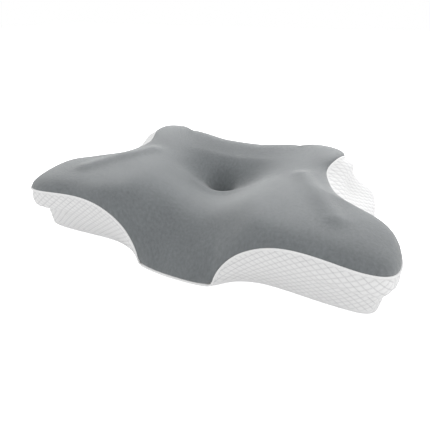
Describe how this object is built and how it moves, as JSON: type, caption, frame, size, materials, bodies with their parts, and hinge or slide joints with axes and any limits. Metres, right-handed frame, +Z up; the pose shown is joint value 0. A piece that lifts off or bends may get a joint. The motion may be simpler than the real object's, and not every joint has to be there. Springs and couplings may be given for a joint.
{
  "type": "contoured neck support pillow",
  "caption": "Butterfly-shaped memory foam neck pillow with a head hollow, a centre dimple, raised arms, a grey knit top, white quilted sides and a zipped cover.",
  "frame": {"origin": "middle of the flat underside, centred on the pillow's outline", "axes": "+X from arm to arm, +Y from the neck lobe to the head end where the zip is, +Z up"},
  "size_m": [0.6072, 0.3974, 0.1167],
  "materials": {
    "grey_knit": "heather grey fine knit, matt",
    "white_quilt": "white knit quilted in small diamonds",
    "white_knit": "white plain knit",
    "white_piping": "white satin-stitched piping",
    "foam": "open-cell memory foam",
    "liner_mesh": "thin cotton liner",
    "zip_tape": "woven polyester tape",
    "zip_coil": "nylon coil",
    "zip_metal": "plated zinc",
    "label_satin": "blank woven satin"
  },
  "bodies": {
    "pillow": {"cover_top_panel": "grey_knit", "side_panel_front_left": "white_quilt", "side_panel_front_right": "white_quilt", "side_panel_back_left": "white_quilt", "side_panel_back_right": "white_quilt", "cover_bottom_panel": "white_knit", "seam_piping": "white_piping", "foam_core": "foam", "inner_liner_top": "liner_mesh", "inner_liner_bottom": "liner_mesh", "zip_tape_upper": "zip_tape", "zip_tape_lower": "zip_tape", "zip_coil_upper": "zip_coil", "zip_coil_lower": "zip_coil", "zip_bottom_stop": "zip_metal", "zip_top_stop_upper": "zip_metal", "zip_top_stop_lower": "zip_metal", "care_label": "label_satin"},
    "slider": {"zip_slider": "zip_metal"},
    "pull": {"zip_pull": "zip_metal"}
  },
  "joints": [
    {"name": "zip_slide", "type": "slide", "parent": "pillow", "child": "slider", "axis": [-1, 0, 0], "range_m": [0, 0.242]},
    {"name": "pull_swing", "type": "hinge", "parent": "slider", "child": "pull", "pos_m": [0.121, 0.1757, 0.0115], "axis": [0, 0, -1], "range_deg": [0, 180]}
  ]
}
